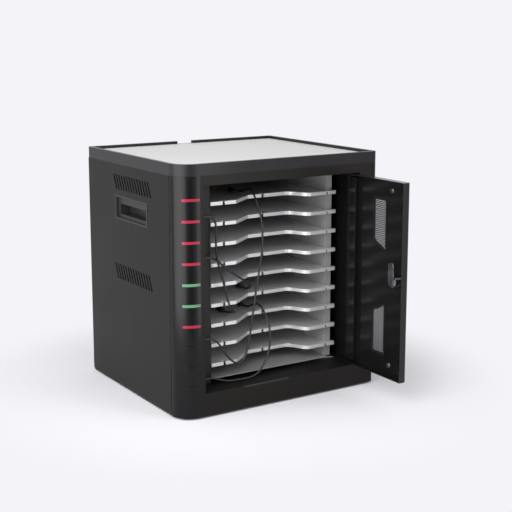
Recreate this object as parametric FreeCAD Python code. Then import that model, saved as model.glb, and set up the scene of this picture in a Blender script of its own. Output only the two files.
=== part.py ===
import FreeCAD, Part
import math
import os

from FreeCAD import Vector

# A charging cabinet for tablets: a sheet-metal case with a rack of shelves, a door on
# offset pivots that parks half inside the case, and ten light bars in its left corner.
# Everything is drawn in millimetres from the case's front left lower corner (x right,
# y back, z up) and moved at the end, so that the origin is the centre of the base plate.

# Case
case_width = 386.0
case_depth = 334.0
case_height = 410.0
corner_radius = 32.0
right_corner_radius = 6.0
rear_corner_radius = 3.0
least_radius = 0.5
panel_sheet = 1.2
front_sheet = 2.0
base_sheet = 3.0
deck_sheet = 2.0
roof_sheet = 2.0
foot_height = 3.0
foot_radius = 11.0
foot_taper = 1.0
foot_inset = 34.0
bolt_hole_radius = 3.25
bolt_spacing_x = 300.0
bolt_spacing_y = 220.0
post_flat = 6.0
post_groove = 2.0
post_tongue = 8.0
post_tongue_sheet = 0.8

# Top cap
cap_height = 19.0
cap_rim = 6.0
cap_floor = 2.0
top_panel_sheet = 3.0
rim_above_panel = 5.0
rim_notch = 32.0

# Front frame round the opening
left_stile = 6.5
right_stile = 23.5
sill_height = 38.0
header_height = 16.0

# Door
door_side_gap = 1.5
door_top_gap = 1.5
door_setback = 0.5
door_depth = 14.0
door_sheet = 1.5
door_edge_radius = 4.0
door_open_inset = 2.0
door_parked_depth = 168.0
window_inset = 58.0
window_width = 29.0
window_end = 34.5
window_length = 84.5
window_slant = 13.5
grille_sheet = 0.5
grille_margin = 3.0
grille_hole_radius = 1.0
grille_edge = 1.4
grille_pitch = 3.6
stiffener_inset = 130.5
stiffener_width = 17.0
stiffener_depth = 8.0
stiffener_sheet = 1.2
stiffener_end_gap = 4.0
stud_radius = 4.5
stud_height = 2.0
stud_round = 1.4
stud_inset_x = 43.0
stud_inset_z = 18.0

# Pivots
arm_sheet = 2.5
arm_front_gap = 2.25
arm_half_width = 36.0
arm_boss_radius = 13.0
pin_radius = 4.0
pin_clearance = 0.05
bush_wall = 2.0
bush_collar_radius = 9.0
bush_collar = 1.5
bush_stub = 1.2
pin_collar_radius = 8.0
pin_collar_low = 0.6
pin_collar_high = 1.5
pin_top_gap = 0.8
thrust_gap = 0.4

# Cam lock
lock_inset = 24.0
lock_body_radius = 9.0
lock_flange_radius = 11.5
lock_flange = 1.5
lock_flange_round = 0.9
lock_body_length = 14.0
lock_plug_radius = 6.5
lock_clearance = 0.05
lock_key_slot = 2.2
lock_key_depth = 6.0
lock_key_length = 9.1
cam_length = 33.0
cam_width = 13.0
cam_sheet = 2.5
cam_neck = 1.0

# Rack and shelves
bay_count = 10
top_bay = 34.0
lowest_port = 12.7
rack_sheet = 1.5
rack_left = 80.0
rack_front = 50.0
rack_rear_space = 34.0
rack_top_gap = 2.5
rack_flange = 12.5
arm_way_gap = 14.0
shelf_sheet = 2.0
shelf_lip = 6.0
shelf_front = 42.0
shelf_tip = 5.0
shelf_tip_radius = 3.0
shelf_tip_gap = 0.5
shelf_fit = 0.3
shelf_tab = 48.0
scoop_depth = 34.0
scoop_slant = 44.0
scoop_curve = 32.0
scoop_right_run = 53.5
notch_width = 4.2
notch_depth = 8.0
notch_left = 25.0
notch_scoop_share = 0.4
tip_notch_inset = 19.5
tip_notch_depth = 3.0

# Light bars
light_above_shelf = 13.0
light_height = 4.6
light_start = 44.0
light_run = 4.5
light_proud = 0.4
light_inside = 0.8
light_fit = 0.1
light_colours = ["red", "red", "red", "red", "green", "green", "red", "unlit", "unlit", "unlit"]
board_sheet = 1.6
light_board_width = 6.0
light_board_gap = 1.0

# Electronics compartment
port_setback = 0.5
port_front = 20.0
port_panel_y = 44.0
port_return = 22.0
port_width = 14.0
port_height = 7.2
port_length = 14.0
port_fit = 0.3
socket_width = 12.6
socket_height = 5.2
socket_depth = 9.5
charge_board_margin = 12.0
supply_width = 62.0
supply_length = 160.0
supply_height = 72.0
supply_gap = 12.0
supply_edge = 4.0
supply_round = 2.0
supply_sheet = 1.2

# Side panels
vent_slot = 4.6
vent_pitch = 9.6
vent_lean = 11.0
vent_length = 148.0
vent_upper_drop = 18.5
vent_upper_height = 25.0
vent_lower_drop = 172.5
vent_lower_height = 26.0
handle_length = 99.0
handle_height = 21.0
handle_drop = 66.5
handle_right_lead = 8.0
handle_depth = 24.0
handle_wall = 1.5
handle_sunk = 4.0
handle_end_border = 7.5
handle_top_border = 11.5
handle_low_border = 5.5
handle_lip = 1.6
handle_proud = 0.6
handle_chamfer = 0.4

# Rear panel
inlet_x = 30.0
inlet_z = 62.0
inlet_width = 34.0
inlet_height = 62.0
inlet_depth = 26.0
inlet_border = 4.0
inlet_proud = 2.0
mains_width = 24.0
mains_height = 16.5
mains_depth = 18.0
mains_z = 8.0
mains_pin_length = 14.0
mains_pin_width = 2.0
mains_pin_height = 4.0
mains_pin_low = 6.0
mains_pin_rise = 5.0
mains_pin_spread = 6.7
rocker_z = 46.0
rocker_radius = 9.0
rocker_width = 12.0
rocker_sink = 6.9
rocker_valley = 5.6
rocker_gap = 0.4
rocker_tilt = 10.0
rocker_axle_radius = 1.5
rocker_axle_length = 1.2
rocker_axle_gap = 0.06
screw_head_radius = 3.6
screw_head = 1.6
screw_head_round = 0.95
screw_radius = 1.8
screw_length = 6.0
screw_inset = 8.0
screw_rows = 4
rear_vent_length = 150.0

# Cables
cable_radius = 1.7
plug_width = 14.0
plug_length = 13.0
plug_height = 6.6
plug_round = 1.2
plug_shell_gap = 0.3
plug_shell_length = 8.5
relief_length = 6.0
relief_radius = 2.6
relief_wall = 0.4
cable_lead = 9.5
cable_bend_share = 0.45
cable_shelf_gap = 0.2
cable_deck_gap = 0.3
connector_width = 9.0
connector_length = 20.0
connector_height = 5.6
connector_round = 1.4
connector_tip_width = 6.6
connector_tip_length = 6.5
connector_tip_height = 1.8

# How far a cutting shape runs past what it cuts, and a joined shape into what it joins
over = 1.0

# Values worked out from the sizes above
z_axis = Vector(0, 0, 1)
cap_bottom = case_height - cap_height
wall_bottom = base_sheet
frame_left = corner_radius + post_flat
frame_right = case_width - right_corner_radius - post_flat
opening_left = frame_left + left_stile
opening_right = frame_right - right_stile
opening_top = cap_bottom - header_height
deck_top = sill_height
door_left = opening_left + door_side_gap
door_right = opening_right - door_side_gap
arm_low = deck_top + pin_collar_low + thrust_gap
door_bottom = arm_low + arm_sheet
door_top = opening_top - door_top_gap
door_mid_z = (door_bottom + door_top) / 2
door_back = door_setback + door_depth
skin_back = door_setback + door_sheet
door_open_face = door_right - door_open_inset
window_outer = (door_top - door_bottom) / 2 - window_end
window_inner = window_outer - window_length
pivot_x = (door_open_face + door_setback - door_parked_depth + door_right) / 2
pivot_y = (door_open_face + door_setback + door_parked_depth - door_right) / 2
arm_reach = pivot_y - front_sheet - arm_front_gap
bush_length = arm_sheet + bush_collar + bush_stub
roof_bottom = door_top + arm_sheet + thrust_gap + pin_collar_high
rack_floor_z = arm_low + bush_length + pin_top_gap
rack_top = door_top - rack_top_gap
rack_back = case_depth - rack_rear_space
shelf_right = door_open_face - door_depth - shelf_tip_gap
rack_edge = shelf_right - shelf_tip
rack_right = rack_edge - rack_flange
top_shelf_z = opening_top - top_bay
light_top_z = top_shelf_z + light_above_shelf
bay_pitch = (light_top_z - deck_top - lowest_port) / (bay_count - 1)
light_z = [light_top_z - bay_pitch * i for i in range(bay_count)]
shelf_left = rack_left + shelf_fit
scoop_left = shelf_left + shelf_tab + scoop_slant
scoop_right = shelf_right - scoop_right_run - scoop_curve
scoop_back = shelf_front + scoop_depth
shelf_z = [top_shelf_z - bay_pitch * i for i in range(bay_count - 1)]
port_face = opening_left + port_setback
port_y = (port_front + port_panel_y) / 2
vent_upper_z = cap_bottom - vent_upper_drop - vent_upper_height
vent_lower_z = cap_bottom - vent_lower_drop - vent_lower_height
vent_front = (case_depth - vent_length) / 2
rear_vent_left = (case_width - rear_vent_length) / 2
handle_z = cap_bottom - handle_drop - handle_height
handle_left_y = (case_depth - handle_length) / 2
handle_right_y = door_parked_depth - handle_right_lead

nodes = {}


def box(x0, x1, y0, y1, z0, z1):
    return Part.makeBox(x1 - x0, y1 - y0, z1 - z0, Vector(x0, y0, z0))


def cylinder(radius, start, direction, length):
    return Part.makeCylinder(radius, length, start, direction)


def face_of(wires):
    return Part.makeFace(wires, "Part::FaceMakerBullseye")


def plan_wire(points, z):
    corners = [Vector(x, y, z) for x, y in points]
    return Part.makePolygon(corners + corners[:1])


def side_wire(points, x):
    corners = [Vector(x, y, z) for y, z in points]
    return Part.makePolygon(corners + corners[:1])


def rear_wire(points, y):
    corners = [Vector(x, y, z) for x, z in points]
    return Part.makePolygon(corners + corners[:1])


def rectangle(a0, a1, b0, b1):
    return [(a0, b0), (a1, b0), (a1, b1), (a0, b1)]


# The case's plan: a large radius at the left front, small ones elsewhere, drawn in by inset
def case_outline(inset, z):
    x0 = inset
    x1 = case_width - inset
    y0 = inset
    y1 = case_depth - inset
    left = corner_radius - inset
    right = max(right_corner_radius - inset, least_radius)
    rear = max(rear_corner_radius - inset, least_radius)
    half = math.sqrt(0.5)

    def arc(cx, cy, radius, sx, sy):
        middle = Vector(cx + sx * radius * half, cy + sy * radius * half, z)
        ends = [Vector(cx + sx * radius, cy, z), Vector(cx, cy + sy * radius, z)]
        if sx * sy < 0:
            ends.reverse()
        return ends[0], middle, ends[1]

    corners = [
        arc(x0 + left, y0 + left, left, -1, -1),
        arc(x1 - right, y0 + right, right, 1, -1),
        arc(x1 - rear, y1 - rear, rear, 1, 1),
        arc(x0 + rear, y1 - rear, rear, -1, 1),
    ]
    edges = []
    for i, (start, middle, end) in enumerate(corners):
        edges.append(Part.Arc(start, middle, end).toShape())
        edges.append(Part.makeLine(end, corners[(i + 1) % 4][0]))
    return Part.Wire(edges)


# A slanted row of vent slots, as corner lists along one axis and up
def vent_slots(start, length, low, height):
    slots = []
    count = int((length - vent_lean - vent_slot) // vent_pitch) + 1
    for i in range(count):
        foot = start + i * vent_pitch
        head = foot + vent_lean
        high = low + height
        slots.append([(foot, low), (foot + vent_slot, low), (head + vent_slot, high), (head, high)])
    return slots


def make_base():
    plate = face_of([case_outline(0, 0)]).extrude(Vector(0, 0, base_sheet))
    centre_x = case_width / 2
    centre_y = case_depth / 2
    for sx in (-0.5, 0.5):
        for sy in (-0.5, 0.5):
            at = Vector(centre_x + sx * bolt_spacing_x, centre_y + sy * bolt_spacing_y, -over)
            plate = plate.cut(cylinder(bolt_hole_radius, at, z_axis, base_sheet + 2 * over))
    nodes["base_plate"] = plate
    feet = []
    for x in (foot_inset, case_width - foot_inset):
        for y in (foot_inset, case_depth - foot_inset):
            tread = Vector(x, y, -foot_height)
            feet.append(Part.makeCone(foot_radius - foot_taper, foot_radius, foot_height, tread))
    nodes["rubber_feet"] = Part.makeCompound(feet)


# A level plate between the case's walls, stepped round the corner posts, with the pivot pin's hole
def level_plate(low, sheet):
    left = panel_sheet + post_tongue_sheet
    right = case_width - left
    left_step = corner_radius + post_tongue
    right_step = right_corner_radius + post_tongue
    points = [
        (panel_sheet, case_depth - panel_sheet), (panel_sheet, left_step), (left, left_step),
        (left, corner_radius), (corner_radius, corner_radius), (corner_radius, front_sheet),
        (case_width - right_corner_radius, front_sheet),
        (case_width - right_corner_radius, right_corner_radius), (right, right_corner_radius),
        (right, right_step), (case_width - panel_sheet, right_step),
        (case_width - panel_sheet, case_depth - panel_sheet),
    ]
    plate = Part.Face(plan_wire(points, low)).extrude(Vector(0, 0, sheet))
    return plate.cut(cylinder(pin_radius, Vector(pivot_x, pivot_y, low - over), z_axis, sheet + 2 * over))


def make_decks():
    nodes["deck_plate"] = level_plate(deck_top - deck_sheet, deck_sheet)
    nodes["roof_plate"] = level_plate(roof_bottom, roof_sheet)


def make_front():
    outer = rear_wire(rectangle(frame_left, frame_right, wall_bottom, cap_bottom), 0)
    hole = rear_wire(rectangle(opening_left, opening_right, deck_top, opening_top), 0)
    nodes["front_frame"] = face_of([outer, hole]).extrude(Vector(0, front_sheet, 0))


# A band that follows a left front corner between two radii: from an angle round to the front, then straight
def corner_band(centre, inner, outer, start, run, z0, z1):
    def at(radius, degrees):
        turn = math.radians(degrees)
        return Vector(centre - radius * math.cos(turn), centre - radius * math.sin(turn), z0)

    middle = (start + 90) / 2
    ahead = Vector(run, 0, 0)
    edges = [
        Part.Arc(at(outer, start), at(outer, middle), at(outer, 90)).toShape(),
        Part.makeLine(at(outer, 90), at(outer, 90) + ahead),
        Part.makeLine(at(outer, 90) + ahead, at(inner, 90) + ahead),
        Part.makeLine(at(inner, 90) + ahead, at(inner, 90)),
        Part.Arc(at(inner, 90), at(inner, middle), at(inner, start)).toShape(),
        Part.makeLine(at(inner, start), at(outer, start)),
    ]
    return Part.Face(Part.Wire(edges)).extrude(Vector(0, 0, z1 - z0))


# A corner post as it stands at the left: a bent front, and a tongue behind the side panel's edge
def corner_post(radius):
    bend = corner_band(radius, radius - front_sheet, radius, 0, post_flat, wall_bottom, cap_bottom)
    tongue = box(panel_sheet, panel_sheet + post_tongue_sheet, radius - over, radius + post_tongue,
                 wall_bottom, cap_bottom)
    return bend.fuse(tongue).removeSplitter()


def make_corners_and_lights():
    post = corner_post(right_corner_radius)
    nodes["right_corner_post"] = post.mirror(Vector(case_width / 2, 0, 0), Vector(1, 0, 0))
    post = corner_post(corner_radius)
    inner = corner_radius - front_sheet
    lenses = {"red": [], "green": [], "unlit": []}
    half = light_height / 2
    slack = math.degrees(light_fit / corner_radius)
    for i, z in enumerate(light_z):
        colour = light_colours[i % len(light_colours)]
        slot = corner_band(corner_radius, inner - over, corner_radius + over, light_start, light_run,
                           z - half, z + half)
        post = post.cut(slot)
        lens = corner_band(corner_radius, inner - light_inside, corner_radius + light_proud,
                           light_start + slack, light_run - light_fit,
                           z - half + light_fit, z + half - light_fit)
        lenses[colour].append(lens)
    nodes["left_corner_post"] = post
    for colour, bars in lenses.items():
        nodes["light_bars_" + colour] = Part.makeCompound(bars)
    board_left = corner_radius + light_run + light_board_gap
    nodes["light_board"] = box(board_left, board_left + light_board_width, front_sheet,
                               front_sheet + board_sheet, light_z[-1] - half, light_z[0] + half)


def make_side(name, front_radius, handle_y, mirrored):
    y0 = handle_y
    y1 = handle_y + handle_length
    z0 = handle_z
    z1 = handle_z + handle_height
    around = rectangle(y0 - handle_end_border, y1 + handle_end_border, z0 - handle_low_border,
                       z1 + handle_top_border)
    outer = rectangle(front_radius + post_groove, case_depth, wall_bottom, cap_bottom)
    holes = [around]
    holes += vent_slots(vent_front, vent_length, vent_upper_z, vent_upper_height)
    holes += vent_slots(vent_front, vent_length, vent_lower_z, vent_lower_height)
    wires = [side_wire(points, 0) for points in [outer] + holes]
    panel = face_of(wires).extrude(Vector(panel_sheet, 0, 0))

    # The cup: a thin lip outside the panel, a sunk plate behind its hole, and the finger well in that plate
    low_y, low_z = around[0]
    high_y, high_z = around[2]
    lip = box(-handle_proud, 0, low_y - handle_lip, high_y + handle_lip, low_z - handle_lip,
              high_z + handle_lip)
    lip_edges = [e for e in lip.Edges if abs(e.BoundBox.XMax + handle_proud) < 1e-6]
    lip = lip.makeChamfer(handle_chamfer, lip_edges)
    tray = box(-handle_proud, handle_sunk + handle_wall, low_y, high_y, low_z, high_z)
    well = box(handle_sunk, handle_depth, y0, y1, z0, z1)
    tray_space = box(-handle_proud - over, handle_sunk, low_y + handle_wall, high_y - handle_wall,
                     low_z + handle_wall, high_z - handle_wall)
    well_space = box(-over, handle_depth - handle_wall, y0 + handle_wall, y1 - handle_wall,
                     z0 + handle_wall, z1 - handle_wall)
    cup = lip.fuse([tray, well]).cut(tray_space).cut(well_space).removeSplitter()
    if mirrored:
        middle = Vector(case_width / 2, 0, 0)
        panel = panel.mirror(middle, Vector(1, 0, 0))
        cup = cup.mirror(middle, Vector(1, 0, 0))
    nodes[name + "_side_panel"] = panel
    nodes[name + "_handle_cup"] = cup


def rear_screw_places():
    places = []
    low = wall_bottom + screw_inset
    high = cap_bottom - screw_inset
    for x in (panel_sheet + screw_inset, case_width - panel_sheet - screw_inset):
        for i in range(screw_rows):
            places.append((x, low + (high - low) * i / (screw_rows - 1)))
    return places


def make_rear():
    back = case_depth - panel_sheet
    outer = rectangle(panel_sheet, case_width - panel_sheet, wall_bottom, cap_bottom)
    holes = [rectangle(inlet_x, inlet_x + inlet_width, inlet_z, inlet_z + inlet_height)]
    holes += vent_slots(rear_vent_left, rear_vent_length, vent_upper_z, vent_upper_height)
    holes += vent_slots(rear_vent_left, rear_vent_length, vent_lower_z, vent_lower_height)
    wires = [rear_wire(points, back) for points in [outer] + holes]
    rear_axis = Vector(0, 1, 0)
    screws = []
    for x, z in rear_screw_places():
        centre = Vector(x, back, z)
        wires.append(Part.Wire(Part.makeCircle(screw_radius, centre, rear_axis)))
        shank = cylinder(screw_radius, Vector(x, case_depth - screw_length, z), rear_axis, screw_length)
        head = cylinder(screw_head_radius, Vector(x, case_depth, z), rear_axis, screw_head)
        rim = [e for e in head.Edges if abs(e.BoundBox.YMin - case_depth - screw_head) < 1e-6]
        head = head.makeFillet(screw_head_round, rim)
        screws.append(shank.fuse(head))
    nodes["rear_panel"] = face_of(wires).extrude(Vector(0, panel_sheet, 0))
    nodes["rear_screws"] = Part.makeCompound(screws)


# The mains inlet and the power switch share one moulding in the rear panel
def make_inlet():
    x1 = inlet_x + inlet_width
    z1 = inlet_z + inlet_height
    middle = inlet_x + inlet_width / 2
    body = box(inlet_x, x1, case_depth - inlet_depth, case_depth, inlet_z, z1)
    flange = box(inlet_x - inlet_border, x1 + inlet_border, case_depth, case_depth + inlet_proud,
                 inlet_z - inlet_border, z1 + inlet_border)
    body = body.fuse(flange).removeSplitter()
    face = case_depth + inlet_proud
    mains_x = middle - mains_width / 2
    low = inlet_z + mains_z
    body = body.cut(box(mains_x, mains_x + mains_width, face - mains_depth, face + over, low,
                        low + mains_height))
    root = face - mains_depth
    half_pin = mains_pin_width / 2
    half_tall = mains_pin_height / 2
    for shift, rise in ((0, mains_pin_rise), (-mains_pin_spread, 0), (mains_pin_spread, 0)):
        x = middle + shift
        z = low + mains_pin_low + rise
        body = body.fuse(box(x - half_pin, x + half_pin, root - over, root + mains_pin_length,
                             z - half_tall, z + half_tall))
    axle_y = face - rocker_sink
    axle_z = inlet_z + rocker_z
    x0 = middle - rocker_width / 2
    pocket = cylinder(rocker_radius + rocker_gap, Vector(x0 - rocker_gap, axle_y, axle_z), Vector(1, 0, 0),
                      rocker_width + 2 * rocker_gap)
    reach = rocker_gap + rocker_axle_length
    socket = cylinder(rocker_axle_radius + rocker_axle_gap, Vector(x0 - reach - rocker_gap, axle_y, axle_z),
                      Vector(1, 0, 0), rocker_width + 2 * reach + 2 * rocker_gap)
    nodes["power_inlet"] = body.cut(pocket).cut(socket)

    # The rocker is a drum cut by two flats that meet in a shallow valley, tilted to off
    drum = cylinder(rocker_radius, Vector(x0, axle_y, axle_z), Vector(1, 0, 0), rocker_width)
    axle = cylinder(rocker_axle_radius, Vector(x0 - reach, axle_y, axle_z), Vector(1, 0, 0),
                    rocker_width + 2 * reach)
    valley = axle_y + rocker_valley
    size = 4 * rocker_radius
    for side in (-1, 1):
        flat = box(x0 - over, x0 + rocker_width + over, valley, valley + size, axle_z - size, axle_z + size)
        flat.rotate(Vector(x0, valley, axle_z), Vector(1, 0, 0), side * rocker_tilt)
        half_space = box(x0 - over, x0 + rocker_width + over, axle_y - size, axle_y + 2 * size,
                         min(axle_z, axle_z + side * 3 * size), max(axle_z, axle_z + side * 3 * size))
        drum = drum.cut(flat.common(half_space))
    rocker = drum.fuse(axle).removeSplitter()
    rocker.rotate(Vector(x0, axle_y, axle_z), Vector(1, 0, 0), rocker_tilt)
    nodes["switch_rocker"] = rocker
    return Vector(middle, axle_y, axle_z)


def make_cap():
    ring = face_of([case_outline(0, cap_bottom)]).extrude(Vector(0, 0, cap_height))
    hollow = face_of([case_outline(cap_rim, cap_bottom - over)]).extrude(Vector(0, 0, cap_height + 2 * over))
    panel_top = case_height - rim_above_panel
    floor_low = panel_top - top_panel_sheet - cap_floor
    floor = face_of([case_outline(cap_rim, floor_low)]).extrude(Vector(0, 0, cap_floor))
    cap = ring.cut(hollow).fuse(floor).removeSplitter()
    notch_left_x = (case_width - rim_notch) / 2
    notch = box(notch_left_x, notch_left_x + rim_notch, case_depth - cap_rim - over, case_depth + over,
                panel_top, case_height + over)
    nodes["top_cap"] = cap.cut(notch)
    panel = face_of([case_outline(cap_rim, floor_low + cap_floor)])
    nodes["top_panel"] = panel.extrude(Vector(0, 0, top_panel_sheet))


# The partition and the folded port panel close off the electronics on the left
def make_compartment():
    fold = panel_sheet
    nodes["partition"] = box(rack_left - fold, rack_left, port_panel_y, case_depth - panel_sheet,
                             deck_top, roof_bottom)
    right = rack_left - fold
    points = [
        (port_return, port_front), (port_face, port_front), (port_face, port_panel_y),
        (right, port_panel_y), (right, port_panel_y + fold), (port_face - fold, port_panel_y + fold),
        (port_face - fold, port_front + fold), (port_return, port_front + fold),
    ]
    panel = face_of([plan_wire(points, deck_top)]).extrude(Vector(0, 0, roof_bottom - deck_top))
    ports = []
    half_w = port_width / 2
    half_h = port_height / 2
    for z in light_z:
        window = box(port_face - fold - over, port_face + over, port_y - half_w - port_fit,
                     port_y + half_w + port_fit, z - half_h - port_fit, z + half_h + port_fit)
        panel = panel.cut(window)
        port = box(port_face - port_length, port_face, port_y - half_w, port_y + half_w,
                   z - half_h, z + half_h)
        socket = box(port_face - socket_depth, port_face + over, port_y - socket_width / 2,
                     port_y + socket_width / 2, z - socket_height / 2, z + socket_height / 2)
        ports.append(port.cut(socket))
    nodes["port_panel"] = panel
    nodes["usb_ports"] = Part.makeCompound(ports)
    board_x = port_face - port_length - board_sheet
    nodes["charge_board"] = box(board_x, board_x + board_sheet, port_front + fold, port_panel_y + fold,
                                light_z[-1] - charge_board_margin, light_z[0] + charge_board_margin)

    # The supply's cover stands on the deck, open below and at the end where its leads come out
    x0 = panel_sheet + supply_edge
    x1 = x0 + supply_width
    y0 = port_panel_y + fold + supply_gap
    y1 = y0 + supply_length
    high = deck_top + supply_height
    cover = box(x0, x1, y0, y1, deck_top, high)
    top_edges = [e for e in cover.Edges if e.BoundBox.ZMin > deck_top + over]
    cover = cover.makeFillet(supply_round, top_edges)
    nodes["power_supply"] = cover.cut(box(x0 + supply_sheet, x1 - supply_sheet, y0 + supply_sheet, y1 + over,
                                          deck_top - over, high - supply_sheet))


def make_rack():
    x0 = rack_left
    flange_back = rack_front + rack_sheet
    u_shape = [
        (x0, rack_front), (x0 + rack_sheet, rack_front), (x0 + rack_sheet, rack_back - rack_sheet),
        (rack_right, rack_back - rack_sheet), (rack_right, rack_front), (rack_edge, rack_front),
        (rack_edge, flange_back), (rack_right + rack_sheet, flange_back),
        (rack_right + rack_sheet, rack_back), (x0, rack_back),
    ]
    rack = face_of([plan_wire(u_shape, deck_top)]).extrude(Vector(0, 0, rack_top - deck_top))
    arm_way_end = pivot_y + arm_half_width + arm_way_gap
    arm_way = box(rack_right - over, rack_edge + over, rack_front - over, arm_way_end, deck_top - over,
                  rack_floor_z)
    nodes["rack_frame"] = rack.cut(arm_way)
    nodes["rack_base"] = box(x0 + rack_sheet, rack_right, shelf_front, rack_back - rack_sheet,
                             rack_floor_z, rack_floor_z + rack_sheet)


# The shelf's plan: a left tab, a slanted side and a smooth curve round the finger scoop
def shelf_outline(z):
    left = shelf_left
    inner_left = rack_left + rack_sheet
    tip = shelf_right
    front = shelf_front
    behind = rack_front - shelf_fit
    curve_end = scoop_right + scoop_curve
    deep = scoop_back
    bend = shelf_tip_radius
    half = bend * (1 - math.sqrt(0.5))
    curve = Part.BezierCurve()
    curve.setPoles([
        Vector(scoop_right, deep, z), Vector(scoop_right + scoop_curve / 2, deep, z),
        Vector(scoop_right + scoop_curve / 2, front, z), Vector(curve_end, front, z),
    ])
    round_end = Part.Arc(Vector(tip - bend, front, z), Vector(tip - half, front + half, z),
                         Vector(tip, front + bend, z)).toShape()
    lead = [(left, front), (left + shelf_tab, front), (scoop_left, deep), (scoop_right, deep)]
    rest = [
        (tip, front + bend), (tip, behind), (rack_right, behind), (rack_right, rack_back - rack_sheet),
        (inner_left, rack_back - rack_sheet), (inner_left, behind), (left, behind), (left, front),
    ]
    edges = Part.makePolygon([Vector(x, y, z) for x, y in lead]).Edges
    edges.append(curve.toShape())
    edges.append(Part.makeLine(Vector(curve_end, front, z), Vector(tip - bend, front, z)))
    edges.append(round_end)
    edges += Part.makePolygon([Vector(x, y, z) for x, y in rest]).Edges
    return Part.Wire(edges)


def make_shelf(top):
    low = top - shelf_sheet
    plate = Part.Face(shelf_outline(low)).extrude(Vector(0, 0, shelf_sheet))
    lip = Part.Face(shelf_outline(top - shelf_lip)).extrude(Vector(0, 0, shelf_lip - shelf_sheet))
    lip = lip.cut(lip.translated(Vector(0, shelf_sheet, 0)))
    keep = box(0, case_width, 0, scoop_back + shelf_sheet, 0, case_height)
    shelf = plate.fuse(lip.common(keep)).removeSplitter()
    scoop_notch = scoop_left + notch_scoop_share * (scoop_right - scoop_left)
    for x, y, depth in (
        (shelf_left + notch_left, shelf_front, notch_depth),
        (scoop_notch, scoop_back, notch_depth),
        (shelf_right - tip_notch_inset, shelf_front, tip_notch_depth),
    ):
        shelf = shelf.cut(box(x - notch_width / 2, x + notch_width / 2, y - over, y + depth,
                              top - shelf_lip - over, top + over))
    return shelf


# Door pieces are drawn closed and turned to the parked, open pose
def parked(shape):
    turned = shape.copy()
    turned.rotate(Vector(pivot_x, pivot_y, 0), z_axis, 90)
    return turned


# One window of the leaf as (x, z) corners; side and end say which corner of the leaf it is near
def window_points(side, end, grow):
    if side == "free":
        near = door_left + window_inset - grow
        far = door_left + window_inset + window_width + grow
    else:
        near = door_right - window_inset + grow
        far = door_right - window_inset - window_width - grow
    outer = door_mid_z + end * (window_outer + grow)
    near_inner = door_mid_z + end * (window_inner - grow)
    far_inner = door_mid_z + end * (window_inner + window_slant - grow)
    return [(near, outer), (far, outer), (far, far_inner), (near, near_inner)]


def inside(points, x, z, margin):
    xs = sorted(p[0] for p in points)
    if x < xs[0] + margin or x > xs[-1] - margin:
        return False
    share = (x - points[0][0]) / (points[1][0] - points[0][0])
    slanted = points[3][1] + (points[2][1] - points[3][1]) * share
    low, high = sorted((points[0][1], slanted))
    return low + margin < z < high - margin


# A perforated plate behind one window: staggered round holes
def make_grille(side, end):
    plate_points = window_points(side, end, grille_margin)
    window = window_points(side, end, 0)
    wires = [rear_wire(plate_points, skin_back)]
    row_step = grille_pitch * math.sqrt(0.75)
    low = min(p[1] for p in window)
    left = min(p[0] for p in window)
    for row in range(int(window_length / row_step) + 1):
        for i in range(int(window_width / grille_pitch) + 1):
            x = left + (i + 0.5 * (row % 2)) * grille_pitch
            z = low + row * row_step
            if inside(window, x, z, grille_edge):
                circle = Part.makeCircle(grille_hole_radius, Vector(x, skin_back, z), Vector(0, 1, 0))
                wires.append(Part.Wire(circle))
    return face_of(wires).extrude(Vector(0, grille_sheet, 0))


def make_door():
    sides = ("free", "hinge")
    ends = (-1, 1)
    block = box(door_left, door_right, door_setback, door_back, door_bottom, door_top)
    upright = [e for e in block.Edges
               if e.BoundBox.ZLength > door_depth and e.BoundBox.YMax < door_back - over]
    block = block.makeFillet(door_edge_radius, upright)
    hollow = box(door_left + door_sheet, door_right - door_sheet, skin_back, door_back + over,
                 door_bottom + door_sheet, door_top - door_sheet)
    inner_radius = door_edge_radius - door_sheet
    hollow_edges = [e for e in hollow.Edges
                    if e.BoundBox.ZLength > door_depth and e.BoundBox.YMax < skin_back + over]
    hollow = hollow.makeFillet(inner_radius, hollow_edges)
    leaf = block.cut(hollow)
    for side in sides:
        for end in ends:
            hole = Part.Face(rear_wire(window_points(side, end, 0), door_setback - over))
            leaf = leaf.cut(hole.extrude(Vector(0, door_sheet + 2 * over, 0)))
    lock_x = door_left + lock_inset
    lock_at = Vector(lock_x, door_setback - over, door_mid_z)
    leaf = leaf.cut(cylinder(lock_body_radius, lock_at, Vector(0, 1, 0), door_sheet + 2 * over))
    nodes["door_leaf"] = parked(leaf)
    grilles = [make_grille(side, end) for side in sides for end in ends]
    nodes["door_grilles"] = parked(Part.makeCompound(grilles))

    x0 = door_left + stiffener_inset
    z0 = door_bottom + door_sheet + stiffener_end_gap
    z1 = door_top - door_sheet - stiffener_end_gap
    channel = box(x0, x0 + stiffener_width, skin_back, skin_back + stiffener_depth, z0, z1)
    inner = box(x0 + stiffener_sheet, x0 + stiffener_width - stiffener_sheet, skin_back - over,
                skin_back + stiffener_depth - stiffener_sheet, z0 - over, z1 + over)
    nodes["door_stiffener"] = parked(channel.cut(inner))

    studs = []
    for x in (door_left + stud_inset_x, door_right - stud_inset_x):
        for z in (door_bottom + stud_inset_z, door_top - stud_inset_z):
            stud = cylinder(stud_radius, Vector(x, skin_back, z), Vector(0, 1, 0), stud_height)
            rim = [e for e in stud.Edges if e.BoundBox.YMin > skin_back + stud_height - 1e-6]
            studs.append(stud.makeFillet(stud_round, rim))
    nodes["door_studs"] = parked(Part.makeCompound(studs))


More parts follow.
